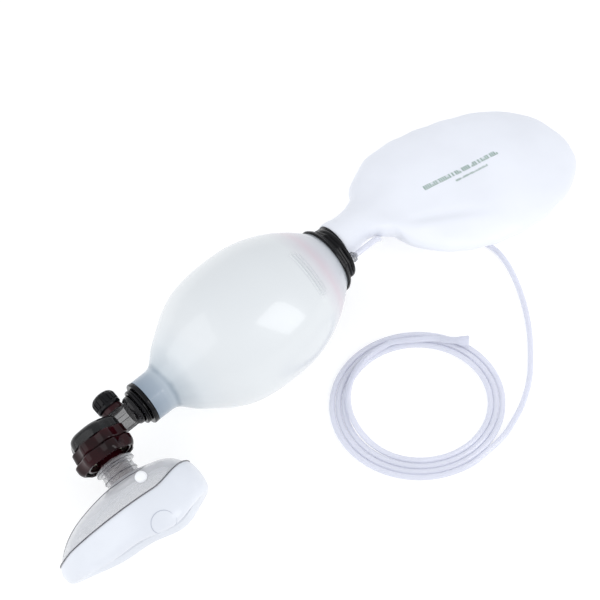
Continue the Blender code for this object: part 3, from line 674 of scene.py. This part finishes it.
def reservoir_bag():
    """Slack film bag with a welded edge, stretched over its port."""
    stations = catmull([(x, y, z) for x, y, z, _, _ in SECTIONS], 5)
    sizes = catmull([(wide, thick, 0) for _, _, _, wide, thick in SECTIONS], 5)
    rings = []
    count = 120
    for i, (middle, size) in enumerate(zip(stations, sizes)):
        before, after = stations[max(i - 1, 0)], stations[min(i + 1, len(stations) - 1)]
        way = X if middle.x < 233 else ((after - before) * Vector((1, 1, 0))).normalized()
        across = Z.cross(way)
        ring = []
        loose = ease((middle.x - 250) / 60) * (1 - ease((middle.x - 478) / 18))
        for k in range(count):
            angle = 2 * math.pi * k / count
            side, up = math.cos(angle), math.sin(angle)
            lens = 1 - 0.10 * loose * (1 - abs(up))        # flatter towards the welded edge
            point = middle + across * (size.x * side) + Z * (size.y * lens * up)
            ripple = 0.5 * loose * math.sin(17 * math.atan2(point.y + 10, point.x - 375) + 2) * abs(side) ** 8
            point += across * (math.copysign(1, side) * ripple)
            point.z += loose * min(1.0, 2.2 * abs(up)) * reservoir_wrinkle(point.x, point.y, up) * 0.9
            if loose > 0.2:
                point.z = max(point.z, 0.35 + 0.15 * abs(side))
            ring.append(point)
        rings.append(ring)
    inner = []
    for middle, ring in zip(stations, rings):
        inner.append([point + (middle - point).normalized() * FILM_WALL for point in ring])
    bm = bmesh.new()
    skin(bm, [[RESERVOIR_TIP]] + rings[::-1] + inner + [[RESERVOIR_TIP - X * 1.2]], LAYOUT)
    return finish("reservoir_film_bag", bm, FILM, "bag",
                  ["reservoir_bag", "reservoir_cuff"], 50)


reservoir = reservoir_bag()


def printed_bars():
    """Two rows of plain printed bars on the reservoir's upper face; 1 is a tall bar, 0 a short one."""
    tree = tree_of(reservoir)
    start, end = Vector((149.5, 18.8)), Vector((250.3, 5.4))
    way = (end - start).normalized()
    side = Vector((-way.y, way.x))
    rows = [(start, 4.8, 1.15, "1111011 111101 1 110 1111 011 1 1011 1110"),
            (Vector((181.1, 7.0)), 2.2, 0.8, "1111 01111 1110 1011 1101")]
    bm = bmesh.new()
    for origin, tall, pitch, marks in rows:
        run = 0.0
        for mark in marks:
            run += pitch * (2.05 if mark != " " else 1.2)
            if mark == " ":
                continue
            low, high = (-0.5, 0.5) if mark == "1" else (-0.5, 0.0)
            columns = []
            for i in range(2):
                column = []
                for j in range(4):
                    spot = origin + way * (run + pitch * (i - 0.5))
                    spot += side * (tall * (low + (high - low) * j / 3))
                    hit = tree.ray_cast(Vector((spot.x * MM, spot.y * MM, 0.2)), -Z)[0]
                    column.append(bm.verts.new(hit + Z * 0.00012))
                columns.append(column)
            for j in range(3):
                bm.faces.new((columns[0][j], columns[1][j], columns[1][j + 1], columns[0][j + 1]))
    return finish("reservoir_print_bars", bm, PRINT, "bag")


printed_bars()

# ------------------------------------------------------------------ patient valve
CAP_LOBES = lobes(6, 90, 0.9)
BODY_LOBES = lobes(7, 180, 0.85)
turned("valve_cap", [(0, -10.6), (13.2, -10.6, 0.5), (13.8, -10.0, 0.4), (17.8, -9.9, 1.6, 0.4),
                     (21.4, -7, 2.6, 1.0), (22.5, -3.0, 2, 1.4), (22.5, 1.3, 0.4, 1.4), (16, 1.2), (16, -8.2),
                     (0, -8.2)],
       HOUSING, SMOKE, "valve", ["upper_valve_housing"], CAP_LOBES, 168)
turned("valve_body", [(22.8, 1.4, 0.4, 1.2), (23.5, 2.2, 0.6, 1.3), (24.0, 9.8, 0.7, 1.3),
                      (23.2, 11.0, 0.6, 1.0), (21.2, 11.4, 0.4, 0.2), (21.0, 13.2, 0.4, 0.2),
                      (20.6, 14.6, 0.4), (20.6, 20.5, 0.4), (18.6, 20.5, 0.4), (18.6, 14.0),
                      (11.4, 14.0, 0.5), (11.4, 23.4), (7.7, 23.4), (7.7, 11.6), (18.9, 11.6), (18.9, 1.5)],
       HOUSING, BURGUNDY, "valve", ["lower_valve_housing"], BODY_LOBES, 196)
turned("valve_shroud", [(24.4, 11.6, 0.4, 1.0), (25.6, 12.6, 0.9, 1.3), (25.4, 18.4, 2.0, 1.3),
                        (23.6, 21.8, 1.2, 0.9), (22.4, 22.1, 0.4, 0.6), (22.0, 21.2, 0.3, 0.4),
                        (23.0, 19.4, 0.6, 0.4), (23.3, 12.4, 0.3, 0.4)],
       HOUSING @ Matrix.Translation((-1.2, 0, 0)), BURGUNDY, "valve",
       ["exhalation_shroud"], BODY_LOBES, 196)
turned("patient_cone", [(12.6, 23.8, 0.3), (12.6, 25.0, 0.3), (11.2, 25.2, 0.2), (10.9, 40.5, 0.2),
                        (10.4, 41.0, 0.3), (7.7, 41.0, 0.4), (7.7, 23.8)],
       HOUSING, CONE, "valve", ["patient_connector"])
turned("swivel_collar_ring", [(15.0, -8.9, 0.4), (16.0, -8.6, 0.5), (16.2, -6.9, 0.3), (15.4, -6.7, 0.2),
                              (15.4, -6.3, 0.2), (16.2, -6.1, 0.3), (16.1, -4.7, 0.4), (15.2, -4.3, 0.3),
                              (13.5, -4.3), (13.5, -8.9)],
       VALVE, BLACK, "valve", ["swivel_collar"])


def valve_arm():
    """Hexagonal arm with soft edges, its root cone and the spigot in the neck."""
    corner = 10.5 / math.cos(math.pi / 6)
    wave = facets(6, corner, 0.06)
    turn = VALVE @ Matrix.Rotation(math.radians(-67), 4, "Z")
    profile = [(0, -33.0), (corner - 1, -33.0, 0.5, 1), (corner, -32, 0.8, 1), (corner, -15.4, 1.2, 1),
               (corner - 1.4, -13.4, 0.6, 1), (0, -13.4)]
    turned("valve_arm", profile, turn, ARM_SMOKE, "valve", (), wave, 144)
    # dark beads along the six edges: painted shade of the smoke plastic's edges
    for k in range(6):
        spot = Vector((math.cos(k * math.pi / 3), math.sin(k * math.pi / 3), 0)) * (corner * 0.985)
        line = [spot + Z * (i - 31.5) for i in range(17)]
        bead("valve_arm_edge_shade_%d" % (k + 1), line, 0.22, turn, SMOKE, "valve")
    root = [(8.4, -16), (11.2, -15.4, 0.6), (13.0, -13.2, 0.8), (13.3, -10.2, 0.4), (12.3, -9.6, 0.3),
            (12.3, 12, 0.5), (8.4, 12)]
    turned("valve_spigot", root, VALVE, SMOKE, "valve")
    boss = [(6.2, 8), (10.6, 8, 0.5), (9.9, 10.8, 0.8), (9.9, 12.4, 0.4), (6.2, 12.4, 0.4)]
    turned("popoff_boss_ring", boss, POPOFF, BURGUNDY, "valve")


valve_arm()


def popoff_cap():
    """Cap with sixteen ribs and a plain rim at its open end."""
    def ribs(angle):
        return 1.0 if math.cos(16 * angle) > 0.0 else 0.0
    profile = [(0, 27.6), (5.8, 27.6, 0.6), (6.4, 27.0, 0.3), (8.2, 26.8, 1.4), (9.9, 24.2, 1.2, 0.5),
               (10.3, 22.6, 0.6, 0.8), (10.3, 17.2, 0.4, 0.8), (10.2, 16.6, 0.3), (11.0, 16.2, 0.4),
               (10.9, 13.8, 0.6), (10.3, 13.2, 0.3), (9.5, 13.2), (9.5, 25.4), (0, 25.4)]
    turned("popoff_cap_ribbed", profile, POPOFF, BLACK, "popoff_cap", ["popoff_cap"],
           ribs, 216)


popoff_cap()

# ------------------------------------------------------------------ mask
RING_COUNT = 120


def rim_depth(at):
    """Depth of the joint between shell and cushion: it rises at the chin."""
    return 69.5 - 9.0 * ease((at - 18) / 34) + 1.5 * ease((-at - 60) / 20)


def face_depth(at):
    """Depth of the cushion's contact edge, which follows a face from chin to nose."""
    return 87 + 11.5 * math.exp(-((at - 16) / 26) ** 2) + 6.0 * math.exp(-((at + 36) / 30) ** 2)


def crown_depth(at):
    """Depth of the shell's crown, lower towards the nose."""
    return 45.5 - 0.06 * at


def egg(nose, chin, width, taper, depth):
    """Egg-shaped ring: nose and chin are its reach from the port's axis."""
    middle, half = (chin - nose) / 2, (chin + nose) / 2
    ring = []
    for i in range(RING_COUNT):
        angle = 2 * math.pi * i / RING_COUNT
        at = middle + half * math.cos(angle)
        across = width * math.sin(angle) * (1 + taper * math.cos(angle))
        ring.append(Vector((at, across, depth(at) if callable(depth) else depth)))
    return ring


def between(first, second, steps, bulge=0.0, lift=0.0):
    """Rings from first to second, bulging sideways and along the depth."""
    rings = []
    for k in range(steps):
        t = k / steps
        ring = []
        for a, b in zip(first, second):
            point = a.lerp(b, t)
            out = Vector((point.x, point.y, 0)).normalized()
            ring.append(point + (out * bulge + Z * lift) * math.sin(math.pi * t))
        rings.append(ring)
    return rings


def on_mask(tree, at, across, above):
    """Point a little above where a line along the mask's axis meets the tree's outer surface."""
    origin = MASK @ Vector((at, across, 10))
    hit = tree.ray_cast(origin, MASK_AXIS)[0]
    return MASK.inverted() @ hit - Z * above


COLLAR_END = 42.2                    # depth where the collar meets the dome


def round_ring(radius, depth):
    """Round ring with as many points as the egg-shaped ones."""
    return egg(radius, radius, radius, 0, depth)


def mask_shell():
    """Clear dome with its collar, in one closed skin."""
    collar = rounded([(16.6, 26.0, 0.4), (17.2, 26.4, 0.3), (17.2, 28.8, 0.4), (16.4, 29.4, 0.3),
                      (15.0, 29.6, 0.3), (14.4, 30.6, 0.4), (14.4, 35.6, 0.2), (15.1, 36.0, 0.2),
                      (15.1, 37.2, 0.2), (14.5, 37.6, 0.2), (14.7, 41.0, 1.0), (16.6, 42.8, 1.0)], False)
    crown = egg(47, 27, 22.5, 0.12, crown_depth)
    low = egg(78.2, 49.2, 42.2, 0.22, lambda at: rim_depth(at) - 1.4)
    outer = [round_ring(point.x, point.y) for point in collar]
    outer += between(round_ring(16.9, 42.9), crown, 8, 0.6, -0.5)
    outer += between(crown, low, 16, 2.6, -2.2) + [low]
    flange = [egg(80.2, 51.2, 44.0, 0.22, lambda at: rim_depth(at) - 1.2),
              egg(80.5, 51.5, 44.2, 0.22, lambda at: rim_depth(at) - 0.7),
              egg(80.3, 51.3, 44.0, 0.22, rim_depth)]
    under = egg(45, 25.5, 21, 0.12, lambda at: crown_depth(at) + 1.8)
    inside = between(egg(75.6, 46.6, 40.0, 0.22, rim_depth), under, 12, 2.2, -1.8)
    inside += between(under, round_ring(14.6, 44.4), 5)
    inside += [round_ring(14.0, 44.3), round_ring(11.5, 43.0), round_ring(11.5, 26.4), round_ring(12.0, 26.0)]
    bm = bmesh.new()
    skin(bm, outer + flange + inside, MASK, loop=True)
    dome = finish("mask_dome", bm, CLEAR, "mask", ["mask_shell"], 30)
    dome.data.materials.append(COLLAR_CLEAR)
    to_mask = MASK.inverted()
    for face in dome.data.polygons:
        if (to_mask @ face.center).z < COLLAR_END:
            face.material_index = 1
    return dome


def mask_painted_lines_and_highlight(dome):
    """Dark beads on the rim, the collar and the crown, and a small white bump on the crown. The dark beads
    are painted shade for the dark refraction at the clear shell's edges and, at the rim, for the shade in the
    joint to the cushion; the white bump is a painted highlight.
    """
    rim = egg(80.7, 51.7, 44.4, 0.22, lambda at: rim_depth(at) - 0.45)
    bead("mask_rim_shade_line", rim, 0.42, MASK, EDGE_SHADE_DARK, "mask", closed=True)
    for number, (radius, depth) in enumerate([(17.25, 28.7), (14.5, 30.3), (15.15, 37.4), (17.0, 43.2)]):
        bead("mask_collar_shade_line_%d" % (number + 1), round_ring(radius, depth), 0.22, MASK, EDGE_SHADE_DARK,
             "mask", closed=True)
    tree = tree_of(dome)
    crest = [(22, 17), (16, 21.5), (6.9, 22.8), (-8.5, 22.2), (-19.8, 19.7), (-31, 17.8), (-42.8, 16.6),
             (-54.6, 14.8), (-66, 11.2), (-76, 4.5)]
    line = [on_mask(tree, p.x, p.y, 0.1) for p in catmull([(*point, 0) for point in crest], 6)]
    bead("mask_crown_shade_line", line, 0.30, MASK, EDGE_SHADE_DARK, "mask")
    # a small white bump on the crown: a painted highlight
    spot = on_mask(tree, 15.0, 33.6, 0.0)
    way = (spot - Vector((10, 0, spot.z + 8))).normalized()
    turn = MASK @ Matrix.Translation(spot) @ way.to_track_quat("Z", "X").to_matrix().to_4x4()
    turned("mask_highlight_bump", [(0, -0.4), (2.9, -0.4), (2.7, 1.0, 0.4), (4.9, 1.5, 0.6), (5.0, 2.7, 0.7),
                        (3.6, 4.0, 1.4), (0, 4.4)],
           turn, HIGHLIGHT_WHITE, "mask", segments=48)


CUFF_LEAN = 3.6                      # the cuff's upper side rolls this much deeper


def mask_cushion():
    """Soft cuff whose edge rolls inwards at the face."""
    def start(at):
        return rim_depth(at) + 0.5

    def mix(share):
        return lambda at: start(at) * (1 - share) + face_depth(at) * share
    keys = [egg(80.6, 51.6, 44.3, 0.22, start), egg(81.6, 52.8, 45.6, 0.22, mix(0.12)),
            egg(82.4, 53.9, 46.7, 0.22, mix(0.36)), egg(82.2, 54.1, 46.7, 0.215, mix(0.62)),
            egg(80.6, 53.0, 45.4, 0.21, mix(0.86)), egg(76.8, 49.8, 41.8, 0.20, mix(1.0)),
            egg(70, 44, 35.5, 0.17, lambda at: face_depth(at) - 0.9),
            egg(63.5, 38.4, 28.8, 0.15, lambda at: face_depth(at) - 4.2)]
    back = [egg(63.2, 38.2, 28.4, 0.15, lambda at: face_depth(at) - 6.0),
            egg(70, 44, 35.0, 0.17, lambda at: face_depth(at) - 4.0),
            egg(76.4, 49.2, 41.2, 0.20, lambda at: face_depth(at) - 4.4),
            egg(79.0, 51.0, 43.6, 0.21, mix(0.5)), egg(76.0, 47.0, 40.2, 0.22, start)]
    outer = [catmull([ring[i] for ring in keys], 5) for i in range(RING_COUNT)]
    inner = [catmull([ring[i] for ring in back], 3) for i in range(RING_COUNT)]
    rings = [[column[k] for column in outer] for k in range(len(outer[0]))]
    rings += [[column[k] for column in inner] for k in range(len(inner[0]))]
    for ring in rings:
        for point in ring:
            share = ease((point.z - rim_depth(point.x)) / 18)
            point.z += CUFF_LEAN * share * point.y / 45
    bm = bmesh.new()
    skin(bm, rings, MASK, loop=True)
    return finish("mask_cuff", bm, CUSHION, "mask", ["mask_cushion"], 60)


def cushion_mark(piece):
    """Moulded drop-shaped mark on the cushion's upper side, laid on it by rays."""
    tree = tree_of(piece)
    right, up = Vector((0.7415, -0.6709, 0)), Vector((0.581, 0.642, 0.5))
    outward = right.cross(up)
    middle = Vector((-0.2340, -0.0790, 0.0762))
    start = outward * 0.2
    wall = tree.ray_cast(middle + start, -outward)[0]
    line = []
    for k in range(49):
        angle = math.radians(42 + 7.0 * k)
        wide = 9.4 + 0.9 * ease((k - 42) / 6)
        origin = middle + (right * math.cos(angle) + up * math.sin(angle)) * wide * MM
        hit = tree.ray_cast(origin + start, -outward)[0]
        if hit and (hit - wall).length < 0.0125:
            line.append(MASK.inverted() @ hit)
    bead("mask_cuff_mark", line, 0.32, MASK, MARK, "mask")


mask_painted_lines_and_highlight(mask_shell())
cuff = mask_cushion()
cushion_mark(cuff)

# ------------------------------------------------------------------ studio
def area_light(name, place, aim, size, power):
    """Soft rectangular light that shines from place to aim."""
    data = bpy.data.lights.new(name, "AREA")
    data.shape = "RECTANGLE"
    data.size, data.size_y = size
    data.energy = power
    light = bpy.data.objects.new(name, data)
    scene.collection.objects.link(light)
    light.location = place
    light.rotation_mode = "QUATERNION"
    light.rotation_quaternion = (Vector(aim) - Vector(place)).to_track_quat("-Z", "Y")


def studio():
    """Pale floor, white surroundings and two softboxes."""
    material, tree, shader, make = new_material("floor_white")
    tree.links.new(mottled(make, tree, (0.60, 0.60, 0.60), 0.004, 3.0), shader.inputs["Base Color"])
    shader.inputs["Roughness"].default_value = 0.9
    shader.inputs["Specular IOR Level"].default_value = 0.1
    shader.inputs["Emission Color"].default_value = (1, 1, 1, 1)
    shader.inputs["Emission Strength"].default_value = 0.50
    bm = bmesh.new()
    bmesh.ops.create_grid(bm, x_segments=8, y_segments=8, size=30.0)
    mesh = bpy.data.meshes.new("floor")
    bm.to_mesh(mesh)
    bm.free()
    mesh.materials.append(material)
    floor = bpy.data.objects.new("floor", mesh)
    scene.collection.objects.link(floor)
    world = bpy.data.worlds.new("studio")
    world.use_nodes = True
    background = world.node_tree.nodes["Background"]
    background.inputs["Color"].default_value = (0.95, 0.97, 1.0, 1)
    background.inputs["Strength"].default_value = 0.84
    scene.world = world
    scene.view_settings.view_transform = "Standard"
    area_light("softbox_left", (-1.31, 0.40, 0.98), (-0.13, 0.0, 0.11), (1.6, 1.4), 7)
    area_light("softbox_window", (0.426, -0.995, 0.835), (-0.0606, -0.0201, 0.115), (0.42, 1.2), 4.8)


studio()
